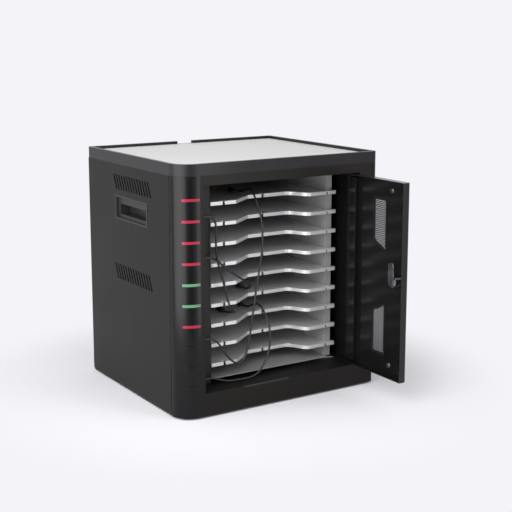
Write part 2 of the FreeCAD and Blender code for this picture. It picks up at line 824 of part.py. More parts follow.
# An arm is a plate under or over the leaf's flange, narrowing to a boss at the pivot
def arm_plate(low):
    reach_y = pivot_y - arm_reach
    wide = [(pivot_x - arm_half_width, reach_y), (pivot_x + arm_half_width, reach_y),
            (pivot_x + arm_boss_radius, pivot_y), (pivot_x - arm_boss_radius, pivot_y)]
    plate = Part.Face(plan_wire(wide, low)).extrude(Vector(0, 0, arm_sheet))
    plate = plate.common(cylinder(arm_reach, Vector(pivot_x, pivot_y, low), z_axis, arm_sheet))
    plate = plate.fuse(cylinder(arm_boss_radius, Vector(pivot_x, pivot_y, low), z_axis, arm_sheet))
    bore_start = Vector(pivot_x, pivot_y, low - over)
    bore = cylinder(pin_radius + pin_clearance + bush_wall, bore_start, z_axis, arm_sheet + 2 * over)
    return plate.removeSplitter().cut(bore)


# A collared bush stands through the arm; up is 1 for the lower arm and -1 for the upper one
def arm_bush(start, up):
    axis = Vector(0, 0, up)
    at = Vector(pivot_x, pivot_y, start)
    tube = cylinder(pin_radius + pin_clearance + bush_wall, at, axis, bush_length)
    collar = cylinder(bush_collar_radius, at + axis * arm_sheet, axis, bush_collar)
    bore = cylinder(pin_radius + pin_clearance, at - axis * over, axis, bush_length + 2 * over)
    return tube.fuse(collar).removeSplitter().cut(bore)


def make_pivots():
    arm_high = door_top + arm_sheet
    nodes["pivot_arm_bottom"] = parked(arm_plate(arm_low))
    nodes["pivot_arm_top"] = parked(arm_plate(door_top))
    nodes["pivot_bushes"] = Part.makeCompound([arm_bush(arm_low, 1), arm_bush(arm_high, -1)])
    centre = Vector(pivot_x, pivot_y, 0)
    pins = []
    for foot, head, collar_foot, collar in (
        (deck_top - deck_sheet, arm_low + bush_length, deck_top, pin_collar_low),
        (arm_high - bush_length, roof_bottom + roof_sheet, arm_high + thrust_gap, pin_collar_high),
    ):
        pin = cylinder(pin_radius, centre + z_axis * foot, z_axis, head - foot)
        shoulder = cylinder(pin_collar_radius, centre + z_axis * collar_foot, z_axis, collar)
        pins.append(pin.fuse(shoulder).removeSplitter())
    nodes["pivot_pins"] = Part.makeCompound(pins)


def make_lock():
    x = door_left + lock_inset
    inward = Vector(0, 1, 0)
    front = Vector(x, door_setback, door_mid_z)
    body = cylinder(lock_body_radius, front, inward, lock_body_length)
    flange = cylinder(lock_flange_radius, front - inward * lock_flange, inward, lock_flange)
    rim = [e for e in flange.Edges if e.BoundBox.YMax < door_setback - lock_flange + 1e-6]
    flange = flange.makeFillet(lock_flange_round, rim)
    bore = cylinder(lock_plug_radius + lock_clearance, front - inward * (lock_flange + over), inward,
                    lock_body_length + lock_flange + 2 * over)
    nodes["lock_body"] = parked(body.fuse(flange).removeSplitter().cut(bore))
    plug_start = front - inward * lock_flange
    plug_length = lock_body_length + lock_flange + cam_neck
    plug = cylinder(lock_plug_radius, plug_start, inward, plug_length)
    half_key = lock_key_length / 2
    slot = box(x - lock_key_slot / 2, x + lock_key_slot / 2, plug_start.y - over,
               plug_start.y + lock_key_depth, door_mid_z - half_key, door_mid_z + half_key)
    nodes["lock_plug"] = parked(plug.cut(slot))
    cam_y = plug_start.y + plug_length
    half = cam_width / 2
    cam = box(x - half, x + half, cam_y, cam_y + cam_sheet, door_mid_z, door_mid_z + cam_length - half)
    for z in (door_mid_z, door_mid_z + cam_length - half):
        cam = cam.fuse(cylinder(half, Vector(x, cam_y, z), inward, cam_sheet))
    nodes["lock_cam"] = parked(cam.removeSplitter())


# Straight runs joined by tangent arcs, each arc as large as its two runs allow
def cable_path(points):
    corners = [Vector(*p) for p in points]
    edges = []
    radii = []
    start = corners[0]
    for before, corner, after in zip(corners, corners[1:], corners[2:]):
        back = (before - corner).normalize()
        ahead = (after - corner).normalize()
        half_turn = (math.pi - back.getAngle(ahead)) / 2
        shorter = min((before - corner).Length, (after - corner).Length)
        tangent = cable_bend_share * shorter
        radius = tangent / math.tan(half_turn)
        enter = corner + back * tangent
        leave = corner + ahead * tangent
        bisector = (back + ahead).normalize()
        middle = corner + bisector * (radius / math.cos(half_turn) - radius)
        edges.append(Part.LineSegment(start, enter).toShape())
        edges.append(Part.Arc(enter, middle, leave).toShape())
        radii.append(round(radius, 1))
        start = leave
    edges.append(Part.LineSegment(start, corners[-1]).toShape())
    return Part.Wire(edges), radii


def make_cable(name, port, points):
    z = light_z[port]
    half_w = plug_width / 2
    half_h = plug_height / 2
    plug_end = port_face + plug_length
    exit_x = plug_end + relief_length
    plug = box(port_face, plug_end, port_y - half_w, port_y + half_w, z - half_h, z + half_h)
    plug = plug.makeFillet(plug_round, plug.Edges)
    gap = plug_shell_gap
    shell = box(port_face - plug_shell_length, port_face + over, port_y - socket_width / 2 + gap,
                port_y + socket_width / 2 - gap, z - socket_height / 2 + gap, z + socket_height / 2 - gap)
    relief = Part.makeCone(relief_radius, cable_radius + relief_wall, relief_length + over,
                           Vector(plug_end - over, port_y, z), Vector(1, 0, 0))
    nodes[name + "_plug"] = plug.fuse([shell, relief]).removeSplitter()

    route = [(exit_x, port_y, z), (exit_x + cable_lead, port_y, z)] + points
    path, radii = cable_path(route)
    circle = Part.Wire(Part.makeCircle(cable_radius, Vector(*route[0]), Vector(1, 0, 0)))
    tube = path.makePipeShell([circle], True, False)
    expected = math.pi * cable_radius ** 2 * path.Length
    share = round(tube.Volume / expected, 4)
    print(name, "length", round(path.Length, 1), "radii", radii, "volume share", share)
    nodes[name] = tube

    end = Vector(*points[-1])
    last_run = end - Vector(*points[-2])
    heading = math.degrees(math.atan2(last_run.y, last_run.x))
    half_cw = connector_width / 2
    half_ch = connector_height / 2
    body = box(0, connector_length, -half_cw, half_cw, -half_ch, half_ch)
    body = body.makeFillet(connector_round, body.Edges)
    tip = box(connector_length - over, connector_length + connector_tip_length, -connector_tip_width / 2,
              connector_tip_width / 2, -connector_tip_height / 2, connector_tip_height / 2)
    piece = body.fuse(tip).removeSplitter()
    piece.rotate(Vector(0, 0, 0), z_axis, heading)
    piece.translate(end)
    nodes[name + "_connector"] = piece


def make_cables():
    lie = connector_height / 2 + cable_shelf_gap
    deck_z = deck_top + cable_radius + cable_deck_gap

    # From the third port from below, down in a loop and up to the top shelf
    on_top = shelf_z[0] + lie
    make_cable("cable_1", -3, [
        (84, 31.5, 112), (92, 31, 101), (100, 30, 88), (109, 29.5, 77), (118, 29, 70), (128, 29, 69),
        (136, 29.5, 75), (141, 30, 86), (145, 30.5, 101), (150, 31, 123), (155, 32, 152), (161, 33, 185),
        (168, 34, 217), (174, 35, 248), (177, 36.5, 279), (177, 41, 307), (175, 51, 331),
        (173, 64, on_top + 8), (172, 79, on_top + 8), (172, 94, on_top + 2), (173, 108, on_top),
        (174, 120, on_top),
    ])

    # From the lowest port, along the deck and up to the third shelf from below
    on_third = shelf_z[-3] + lie
    make_cable("cable_2", -1, [
        (85, 32, 47), (97, 31.5, 42.5), (111, 30.5, deck_z), (127, 29, deck_z + 0.5), (143, 28.5, deck_z),
        (157, 28, deck_z + 3), (169, 28.5, 51), (179, 29.5, 65), (187, 31, 83), (190.5, 33, 105),
        (190, 38, 126), (188, 48, 144), (186, 62, on_third + 13), (185, 78, on_third + 9),
        (184.5, 92, on_third + 2), (185, 105, on_third), (186, 117, on_third),
    ])

    # From the second port, hanging beside the door frame, then in over the same shelf's tab
    make_cable("cable_3", 1, [
        (80, 31.8, 316), (83.5, 31.5, 307.5), (84, 31, 295), (82.5, 30, 273), (84, 29, 249), (91, 28, 225),
        (98, 27.5, 200), (103, 27, 178), (110, 28.5, 163), (119, 34, 155), (127, 45, 152), (132, 58, 149.5),
        (135, 72, on_third + 3), (136, 86, on_third), (137, 98, on_third),
    ])

    # From the fourth port, slanting down to the next shelf up
    on_fourth = shelf_z[-4] + lie
    make_cable("cable_4", 3, [
        (84, 34, 248.5), (97, 36, 238), (112, 36.5, 225.5), (128, 37, 214), (144, 40, 204.5), (158, 47, 198),
        (168, 58, 193), (174, 72, on_fourth + 8), (177, 86, on_fourth + 2), (179, 99, on_fourth),
        (181, 111, on_fourth),
    ])


make_base()
make_decks()
make_front()
make_corners_and_lights()
make_side("left", corner_radius, handle_left_y, False)
make_side("right", right_corner_radius, handle_right_y, True)
make_rear()
rocker_axis = make_inlet()
make_cap()
make_compartment()
make_rack()
for number, height in enumerate(shelf_z, 1):
    nodes["shelf_%d" % number] = make_shelf(height)
make_door()
make_pivots()
make_lock()
make_cables()

# The finished pieces move so that the origin is the centre of the base plate's underside
to_origin = Vector(-case_width / 2, -case_depth / 2, 0)
os.makedirs("parts", exist_ok=True)
for node, shape in nodes.items():
    placed = shape.translated(to_origin)
    placed.exportStep("parts/" + node + ".step")
print("door pivot", pivot_x + to_origin.x, pivot_y + to_origin.y)
print("rocker axis", rocker_axis + to_origin)
lock_axis = parked(Part.Vertex(Vector(door_left + lock_inset, 0, door_mid_z))).Point + to_origin
print("lock axis", lock_axis)
print(len(nodes), "nodes")
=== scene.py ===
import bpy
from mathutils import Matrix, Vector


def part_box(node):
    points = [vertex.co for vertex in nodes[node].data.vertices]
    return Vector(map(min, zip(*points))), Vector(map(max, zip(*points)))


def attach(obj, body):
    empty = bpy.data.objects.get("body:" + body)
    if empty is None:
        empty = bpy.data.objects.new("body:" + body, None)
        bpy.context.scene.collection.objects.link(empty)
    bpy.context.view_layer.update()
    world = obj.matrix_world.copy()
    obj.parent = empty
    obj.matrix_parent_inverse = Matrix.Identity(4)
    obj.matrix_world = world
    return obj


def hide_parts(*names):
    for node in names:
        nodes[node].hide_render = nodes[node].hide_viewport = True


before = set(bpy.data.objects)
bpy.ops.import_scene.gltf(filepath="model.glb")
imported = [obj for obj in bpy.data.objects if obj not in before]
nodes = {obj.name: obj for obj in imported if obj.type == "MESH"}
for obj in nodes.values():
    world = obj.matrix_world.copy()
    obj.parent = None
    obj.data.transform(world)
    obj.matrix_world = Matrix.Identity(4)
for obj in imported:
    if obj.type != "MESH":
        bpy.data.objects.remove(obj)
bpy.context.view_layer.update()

import math

import bpy
import numpy as np

scene = bpy.context.scene
scene.view_settings.view_transform = "Standard"
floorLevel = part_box("rubber_feet")[0].z


def addObject(name, data):
    made = bpy.data.objects.new(name, data)
    scene.collection.objects.link(made)
    return made


def addNode(tree, kind, inputs=None, **settings):
    node = tree.nodes.new(kind)
    for name, value in settings.items():
        setattr(node, name, value)
    for name, value in (inputs or {}).items():
        if isinstance(value, bpy.types.NodeSocket):
            tree.links.new(value, node.inputs[name])
        else:
            node.inputs[name].default_value = value
    return node


def mathNode(tree, operation, *values):
    return addNode(tree, "ShaderNodeMath", dict(enumerate(values)), operation=operation).outputs[0]


def vectorNode(tree, operation, *values):
    return addNode(tree, "ShaderNodeVectorMath", dict(enumerate(values)), operation=operation).outputs[0]


def noiseNode(tree, vector, scale, detail):
    settings = {"Vector": vector, "Scale": scale, "Detail": detail}
    return addNode(tree, "ShaderNodeTexNoise", settings).outputs["Fac"]


def splitNode(tree, vector):
    return addNode(tree, "ShaderNodeSeparateXYZ", {0: vector}).outputs


def objectCoords(tree):
    return addNode(tree, "ShaderNodeTexCoord").outputs["Object"]


def mixColour(tree, factor, first, second):
    return addNode(tree, "ShaderNodeMix", {0: factor, 6: first, 7: second}, data_type="RGBA").outputs[2]


def opaque(colour):
    return (*colour, 1)


def newGroup(name, inputs, outputs):
    group = bpy.data.node_groups.new(name, "ShaderNodeTree")
    for way, sockets in (("INPUT", inputs), ("OUTPUT", outputs)):
        for label, kind in sockets.items():
            group.interface.new_socket(name=label, in_out=way, socket_type="NodeSocket" + kind)
    entry = group.nodes.new("NodeGroupInput").outputs
    leave = group.nodes.new("NodeGroupOutput").inputs
    return group, entry, leave


def placeGroup(tree, group, inputs):
    return addNode(tree, "ShaderNodeGroup", inputs, node_tree=group).outputs


def newMaterial(name):
    material = bpy.data.materials.new(name)
    material.use_nodes = True
    return material, material.node_tree


# Camera: the view that the photograph was taken from, fitted to the case's edges
camLook = {
    "place": (-0.99133, -1.63457, 0.61341), "down": 10.312, "turn": 32.599,
    "lens": 77.298, "sensor": 36.0, "shift": -0.0508,
}
camData = bpy.data.cameras.new("viewCamera")
camData.lens = camLook["lens"]
camData.sensor_width = camLook["sensor"]
camData.shift_y = camLook["shift"]
camera = addObject("viewCamera", camData)
camera.location = camLook["place"]
camera.rotation_euler = (math.radians(90 - camLook["down"]), 0, math.radians(-camLook["turn"]))
scene.camera = camera
print("camera set")

# Charging cables: the same route points as the solids, as smooth splines
cableLook = {"radius": 0.0017, "roundness": 6, "steps": 8}
cableRoute = {
    "cable_1": [
        (-0.129, -0.135, 0.1181), (-0.1195, -0.135, 0.1181), (-0.109, -0.1355, 0.112),
        (-0.101, -0.136, 0.101), (-0.093, -0.137, 0.088), (-0.084, -0.1375, 0.077), (-0.075, -0.138, 0.07),
        (-0.065, -0.138, 0.069), (-0.057, -0.1375, 0.075), (-0.052, -0.137, 0.086),
        (-0.048, -0.1365, 0.101), (-0.043, -0.136, 0.123), (-0.038, -0.135, 0.152),
        (-0.032, -0.134, 0.185), (-0.025, -0.133, 0.217), (-0.019, -0.132, 0.248),
        (-0.016, -0.1305, 0.279), (-0.016, -0.126, 0.307), (-0.018, -0.116, 0.331), (-0.02, -0.103, 0.352),
        (-0.021, -0.088, 0.352), (-0.021, -0.073, 0.346), (-0.02, -0.059, 0.344), (-0.019, -0.047, 0.344),
    ],
    "cable_2": [
        (-0.129, -0.135, 0.0507), (-0.1195, -0.135, 0.0507), (-0.108, -0.135, 0.047),
        (-0.096, -0.1355, 0.0425), (-0.082, -0.1365, 0.04), (-0.066, -0.138, 0.0405),
        (-0.05, -0.1385, 0.04), (-0.036, -0.139, 0.043), (-0.024, -0.1385, 0.051),
        (-0.014, -0.1375, 0.065), (-0.006, -0.136, 0.083), (-0.0025, -0.134, 0.105),
        (-0.003, -0.129, 0.126), (-0.005, -0.119, 0.144), (-0.007, -0.105, 0.1548),
        (-0.008, -0.089, 0.1508), (-0.0085, -0.075, 0.1438), (-0.008, -0.062, 0.1418),
        (-0.007, -0.05, 0.1418),
    ],
    "cable_3": [
        (-0.129, -0.135, 0.3203), (-0.1195, -0.135, 0.3203), (-0.113, -0.1352, 0.316),
        (-0.1095, -0.1355, 0.3075), (-0.109, -0.136, 0.295), (-0.1105, -0.137, 0.273),
        (-0.109, -0.138, 0.249), (-0.102, -0.139, 0.225), (-0.095, -0.1395, 0.2), (-0.09, -0.14, 0.178),
        (-0.083, -0.1385, 0.163), (-0.074, -0.133, 0.155), (-0.066, -0.122, 0.152),
        (-0.061, -0.109, 0.1495), (-0.058, -0.095, 0.1448), (-0.057, -0.081, 0.1418),
        (-0.056, -0.069, 0.1418),
    ],
    "cable_4": [
        (-0.129, -0.135, 0.2529), (-0.1195, -0.135, 0.2529), (-0.109, -0.133, 0.2485),
        (-0.096, -0.131, 0.238), (-0.081, -0.1305, 0.2255), (-0.065, -0.13, 0.214),
        (-0.049, -0.127, 0.2045), (-0.035, -0.12, 0.198), (-0.025, -0.109, 0.193),
        (-0.019, -0.095, 0.1835), (-0.016, -0.081, 0.1775), (-0.014, -0.068, 0.1755),
        (-0.012, -0.056, 0.1755),
    ],
}
cables = {}
for name, route in cableRoute.items():
    curve = bpy.data.curves.new(name + "_cord", "CURVE")
    curve.dimensions = "3D"
    curve.bevel_depth = 1.0  # scaled by each point's radius, so that the curve's own box stays tight
    curve.bevel_resolution = cableLook["roundness"]
    curve.resolution_u = cableLook["steps"]
    curve.use_fill_caps = True
    spline = curve.splines.new("NURBS")
    spline.points.add(len(route) - 1)
    spline.points.foreach_set("co", np.c_[np.array(route), np.ones(len(route))].ravel())
    spline.points.foreach_set("radius", np.full(len(route), cableLook["radius"]))
    spline.order_u = 3
    spline.use_endpoint_u = True
    cord = addObject(name + "_cord", curve)
    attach(cord, "case")
    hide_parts(name)
    cables[name] = cord
print("cables laid:", len(cables))

# Coat grain: fine orange-peel noise for the bump, and slow mottling with a share of it for tone and gloss
grainParts = {"fineDetail": 2.0, "broadDetail": 3.0, "fineShare": 0.3, "broadShare": 0.7}
grainGroup, entry, leave = newGroup(
    "coatGrain",
    {"Vector": "Vector", "Grain": "Float", "Mottle": "Float"},
    {"Tone": "Float", "Height": "Float"},
)
fine = noiseNode(grainGroup, entry["Vector"], entry["Grain"], grainParts["fineDetail"])
broad = noiseNode(grainGroup, entry["Vector"], entry["Mottle"], grainParts["broadDetail"])
broadPart = mathNode(grainGroup, "MULTIPLY", broad, grainParts["broadShare"])
finePart = mathNode(grainGroup, "MULTIPLY", fine, grainParts["fineShare"])
grainGroup.links.new(mathNode(grainGroup, "ADD", broadPart, finePart), leave["Tone"])
grainGroup.links.new(fine, leave["Height"])


# Depth inside a box along each axis: the lesser of the ways to its low and to its high face
def boxDepth(group, entry):
    fromLow = vectorNode(group, "SUBTRACT", entry["Vector"], entry["Low"])
    fromHigh = vectorNode(group, "SUBTRACT", entry["High"], entry["Vector"])
    return splitNode(group, vectorNode(group, "MINIMUM", fromLow, fromHigh))


# Edge rub and painted edge highlight: near the edges of a box the second smallest depth falls to nothing,
# over a ragged width
rubGlintParts = {"raggedScale": 160.0, "raggedDetail": 4.0, "spread": 2.0}
rubGlintGroup, entry, leave = newGroup(
    "edgeRubGlint", {"Vector": "Vector", "Low": "Vector", "High": "Vector", "Width": "Float"}, {"Mask": "Float"}
)
depthX, depthY, depthZ = boxDepth(rubGlintGroup, entry)
lesser = mathNode(rubGlintGroup, "MINIMUM", depthX, depthY)
greater = mathNode(rubGlintGroup, "MAXIMUM", depthX, depthY)
second = mathNode(rubGlintGroup, "MAXIMUM", lesser, mathNode(rubGlintGroup, "MINIMUM", greater, depthZ))
ragged = noiseNode(rubGlintGroup, entry["Vector"], rubGlintParts["raggedScale"], rubGlintParts["raggedDetail"])
spread = mathNode(rubGlintGroup, "MULTIPLY", ragged, rubGlintParts["spread"])
fall = mathNode(rubGlintGroup, "DIVIDE", second, mathNode(rubGlintGroup, "MULTIPLY", entry["Width"], spread))
rubbedGlint = addNode(rubGlintGroup, "ShaderNodeClamp", {"Value": mathNode(rubGlintGroup, "SUBTRACT", 1.0, fall)})
rubGlintGroup.links.new(rubbedGlint.outputs[0], leave["Mask"])

# Settled dust: faces that look up catch a thin uneven film
dustParts = {"upFrom": 0.6, "upTo": 1.0, "patchScale": 24.0, "patchDetail": 6.0}
dustGroup, entry, leave = newGroup("settledDust", {"Vector": "Vector", "Amount": "Float"}, {"Mask": "Float"})
facing = addNode(dustGroup, "ShaderNodeNewGeometry").outputs["Normal"]
lying = addNode(dustGroup, "ShaderNodeMapRange", {
    "Value": splitNode(dustGroup, facing)[2], "From Min": dustParts["upFrom"], "From Max": dustParts["upTo"],
})
patch = noiseNode(dustGroup, entry["Vector"], dustParts["patchScale"], dustParts["patchDetail"])
film = mathNode(dustGroup, "MULTIPLY", lying.outputs[0], patch)
dustGroup.links.new(mathNode(dustGroup, "MULTIPLY", film, entry["Amount"]), leave["Mask"])

# Box mask: one inside a box given by its two corners, nothing outside it
boxGroup, entry, leave = newGroup(
    "boxMask", {"Vector": "Vector", "Low": "Vector", "High": "Vector"}, {"Mask": "Float"}
)
depthX, depthY, depthZ = boxDepth(boxGroup, entry)
least = mathNode(boxGroup, "MINIMUM", depthX, mathNode(boxGroup, "MINIMUM", depthY, depthZ))
boxGroup.links.new(mathNode(boxGroup, "GREATER_THAN", least, 0.0), leave["Mask"])

# What every coat starts from; a finish below gives its colours and roughness, and what else differs
coatBase = {
    "grain": 900.0, "mottle": 9.0, "bump": 0.05, "bumpDepth": 0.0003, "toneSpan": (0.25, 0.75),
    "metallic": 0.0, "specular": 0.5, "tint": (1, 1, 1), "edgeSamples": 4, "dustColour": (0.45, 0.44, 0.42),
}


def coatMaterial(name, finish):
    look = {**coatBase, **finish}
    material, tree = newMaterial(name)
    shader = tree.nodes["Principled BSDF"]
    shader.inputs["Metallic"].default_value = look["metallic"]
    shader.inputs["Specular IOR Level"].default_value = look["specular"]
    shader.inputs["Specular Tint"].default_value = opaque(look["tint"])
    coords = objectCoords(tree)
    grain = placeGroup(tree, grainGroup, {"Vector": coords, "Grain": look["grain"], "Mottle": look["mottle"]})
    colour = mixColour(tree, grain["Tone"], opaque(look["deep"]), opaque(look["pale"]))
    # Rubbed edges: lighter colour along the box edges, partly wear and partly painted edge highlight
    if "rubGlint" in look:
        rubGlint = look["rubGlint"]
        low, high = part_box(rubGlint["node"])
        rubGlintEdges = placeGroup(tree, rubGlintGroup, {
            "Vector": coords, "Low": low, "High": high, "Width": rubGlint["width"],
        })
        rubbedGlint = mathNode(tree, "MULTIPLY", rubGlintEdges["Mask"], rubGlint["strength"])
        colour = mixColour(tree, rubbedGlint, colour, opaque(rubGlint["colour"]))
    if "dust" in look:
        dust = placeGroup(tree, dustGroup, {"Vector": coords, "Amount": look["dust"]})
        colour = mixColour(tree, dust["Mask"], colour, opaque(look["dustColour"]))
    # Bare patch: metallic colour inside a box, real bare metal on pins and tips, and a painted highlight
    # streak on the sill
    if "bareAndGlint" in look:
        bareAndGlint = look["bareAndGlint"]
        bareGlintMask = placeGroup(tree, boxGroup, {"Vector": coords, "Low": bareAndGlint["low"], "High": bareAndGlint["high"]})
        colour = mixColour(tree, bareGlintMask["Mask"], colour, opaque(bareAndGlint["colour"]))
        tree.links.new(bareGlintMask["Mask"], shader.inputs["Metallic"])
    tree.links.new(colour, shader.inputs["Base Color"])
    rough = addNode(tree, "ShaderNodeMapRange", {
        "Value": grain["Tone"], "From Min": look["toneSpan"][0], "From Max": look["toneSpan"][1],
        "To Min": look["rough"][0], "To Max": look["rough"][1],
    })
    tree.links.new(rough.outputs[0], shader.inputs["Roughness"])
    bump = addNode(tree, "ShaderNodeBump", {
        "Height": grain["Height"], "Strength": look["bump"], "Distance": look["bumpDepth"],
    })
    if "edge" in look:
        rounded = addNode(tree, "ShaderNodeBevel", {"Radius": look["edge"]}, samples=look["edgeSamples"])
        tree.links.new(rounded.outputs[0], bump.inputs["Normal"])
    tree.links.new(bump.outputs[0], shader.inputs["Normal"])
    return material


def dress(material, *names):
    for name in names:
        mesh = nodes[name].data
        mesh.materials.clear()
        mesh.materials.append(material)


# Case: satin powder coat outside with rubbed edges, partly wear and partly painted edge highlight; a darker
# copy on the front as painted shade, and a darker one inside
sheetLook = {
    "deep": (0.004, 0.0036, 0.0033), "pale": (0.0075, 0.0068, 0.0062), "rough": (0.32, 0.44),
    "bump": 0.1, "edge": 0.0006, "specular": 0.14, "tint": (1.0, 0.97, 0.94),
}
# Rubbed edges: lighter along the panel edges, partly wear and partly painted edge highlight
sheetRubGlint = {"width": 0.0012, "strength": 0.12, "colour": (0.08, 0.078, 0.076)}
for name in ("left_side_panel", "right_side_panel", "rear_panel"):
    dress(coatMaterial("coat_" + name, {**sheetLook, "rubGlint": {**sheetRubGlint, "node": name}}), name)
# Front frame and base plate: a darker copy of the case coat, painted shade for the front, which gets less
# light than the sides
frontShadeLook = {
    **sheetLook, "deep": (0.003, 0.0027, 0.0024), "pale": (0.0055, 0.005, 0.0045), "specular": 0.2,
    "tint": (1.0, 0.93, 0.87),
}
# Painted highlight: a bare metallic streak along the sill's top front edge, standing in for the edge's
# highlight
sillGlintStreak = {"low": (-0.075, -0.1675, 0.0362), "high": (0.012, -0.163, 0.0385), "colour": (0.07, 0.064, 0.058)}
dress(coatMaterial("frontShadeSheet", {**frontShadeLook, "bareAndGlint": sillGlintStreak}), "front_frame", "base_plate")
innerLook = {
    "deep": (0.003, 0.003, 0.0032), "pale": (0.006, 0.006, 0.0063), "rough": (0.42, 0.58),
    "bump": 0.12, "edge": 0.0005, "specular": 0.3,
}
dress(coatMaterial("innerSheet", innerLook), "deck_plate", "roof_plate", "partition", "port_panel")

# Corner posts: glossier extrusions
postLook = {
    "deep": (0.0042, 0.0039, 0.0042), "pale": (0.0066, 0.0062, 0.0067), "rough": (0.17, 0.23),
    "bump": 0.03, "grain": 500.0, "edge": 0.0006, "specular": 0.19,
}
dress(coatMaterial("cornerGloss", postLook), "left_corner_post", "right_corner_post")

# Top cap, handle cups and mains inlet: moulded black with a fine grain; the top panel is a pale laminate
capLook = {
    "deep": (0.0115, 0.0108, 0.0117), "pale": (0.0192, 0.0183, 0.0197), "rough": (0.22, 0.32),
    "bump": 0.14, "grain": 1400.0, "edge": 0.0008, "dust": 0.05, "specular": 0.17,
}
dress(coatMaterial("capMould", capLook), "top_cap")
cupLook = {
    "deep": (0.016, 0.0153, 0.015), "pale": (0.026, 0.0249, 0.0245), "rough": (0.34, 0.46),
    "bump": 0.2, "grain": 1400.0, "edge": 0.0006, "specular": 0.18,
}
dress(coatMaterial("cupMould", cupLook), "left_handle_cup", "right_handle_cup", "switch_rocker")
inletPins = {
    "low": (-0.1575, 0.1512, 0.0705), "high": (-0.1345, 0.1655, 0.0862), "colour": (0.55, 0.54, 0.52),
}
dress(coatMaterial("inletMould", {**cupLook, "bareAndGlint": inletPins}), "power_inlet")
topLook = {
    "deep": (0.56, 0.56, 0.56), "pale": (0.69, 0.69, 0.685), "rough": (0.45, 0.6),
    "bump": 0.15, "grain": 1100.0, "dust": 0.04,
}
dress(coatMaterial("topLaminate", topLook), "top_panel")
print("case dressed")

# Rack: light grey powder coat. Shelves: a silvery one, so that their fronts shine and their tops stay grey
rackLook = {
    "deep": (0.2, 0.2, 0.203), "pale": (0.27, 0.27, 0.274), "rough": (0.4, 0.55),
    "bump": 0.12, "edge": 0.0005,
}
dress(coatMaterial("rackPaint", rackLook), "rack_frame", "rack_base")
shelfLook = {
    "deep": (0.54, 0.54, 0.545), "pale": (0.68, 0.68, 0.685), "rough": (0.34, 0.46),
    "bump": 0.1, "edge": 0.0006, "metallic": 0.45,
}
dress(coatMaterial("shelfPaint", shelfLook), *[name for name in nodes if name.startswith("shelf_")])
print("rack dressed")

# Door: smooth, fairly glossy black, with dark grilles and bright fittings
doorLook = {
    "deep": (0.004, 0.004, 0.0042), "pale": (0.007, 0.007, 0.0073), "rough": (0.14, 0.22),
    "bump": 0.03, "edge": 0.0007, "specular": 0.36,
    # Rubbed edges: lighter along the leaf's edges, partly wear and partly painted edge highlight
    "rubGlint": {"node": "door_leaf", "width": 0.001, "strength": 0.15, "colour": (0.07, 0.07, 0.07)},
}
dress(coatMaterial("doorSheet", doorLook), "door_leaf", "door_stiffener")
grilleLook = {
    "deep": (0.005, 0.005, 0.005), "pale": (0.012, 0.012, 0.012), "rough": (0.4, 0.5),
    "bump": 0.05, "specular": 0.16,
}
dress(coatMaterial("grillePlate", grilleLook), "door_grilles")
steelLook = {
    "deep": (0.34, 0.34, 0.35), "pale": (0.46, 0.46, 0.47), "rough": (0.28, 0.42),
    "bump": 0.04, "metallic": 1.0, "edge": 0.0004,
}
plainSteel = coatMaterial("plainSteel", steelLook)
dress(plainSteel, "pivot_pins", "pivot_arm_top", "pivot_arm_bottom", "usb_ports", "power_supply")
studLook = {**steelLook, "deep": (0.14, 0.14, 0.145), "pale": (0.22, 0.22, 0.225)}
dress(coatMaterial("studSteel", studLook), "door_studs")
chromeLook = {**steelLook, "deep": (0.42, 0.42, 0.44), "pale": (0.54, 0.54, 0.56), "rough": (0.14, 0.24)}
dress(coatMaterial("lockChrome", chromeLook), "lock_body", "lock_plug", "lock_cam")
brassLook = {**steelLook, "deep": (0.5, 0.34, 0.12), "pale": (0.68, 0.5, 0.2)}
dress(coatMaterial("bushBrass", brassLook), "pivot_bushes")
print("door dressed")

# Lights: tinted lenses, brightest where the lamp sits behind the middle and dimmer towards their ends
lensLook = {
    "light_bars_red": {
        "deep": (0.16, 0.008, 0.02), "pale": (0.25, 0.015, 0.042), "glow": (0.15, 0.007, 0.022),
    },
    "light_bars_green": {
        "deep": (0.045, 0.12, 0.062), "pale": (0.085, 0.19, 0.105), "glow": (0.055, 0.13, 0.07),
    },
    "light_bars_unlit": {
        "deep": (0.002, 0.002, 0.002), "pale": (0.004, 0.004, 0.004), "glow": None,
    },
}
lensFinish = {"rough": (0.2, 0.3), "bump": 0.02, "grain": 700.0, "edge": 0.0004, "specular": 0.25}
lensGlow = {"endShare": 0.35, "strength": 1.0}
for name, look in lensLook.items():
    lens = coatMaterial("lens_" + name, {**look, **lensFinish})
    if look["glow"]:
        low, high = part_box(name)
        tree = lens.node_tree
        shader = tree.nodes["Principled BSDF"]
        fromMiddle = mathNode(tree, "SUBTRACT", splitNode(tree, objectCoords(tree))[0], (low.x + high.x) / 2)
        share = mathNode(tree, "DIVIDE", mathNode(tree, "ABSOLUTE", fromMiddle), (high.x - low.x) / 2)
        dimmed = [part * lensGlow["endShare"] for part in look["glow"]]
        glow = mixColour(tree, share, opaque(look["glow"]), opaque(dimmed))
        tree.links.new(glow, shader.inputs["Emission Color"])
        shader.inputs["Emission Strength"].default_value = lensGlow["strength"]
    dress(lens, name)
boardLook = {"deep": (0.01, 0.07, 0.03), "pale": (0.02, 0.12, 0.05), "rough": (0.3, 0.45)}
dress(coatMaterial("boardMask", boardLook), "light_board", "charge_board")
print("lights dressed")

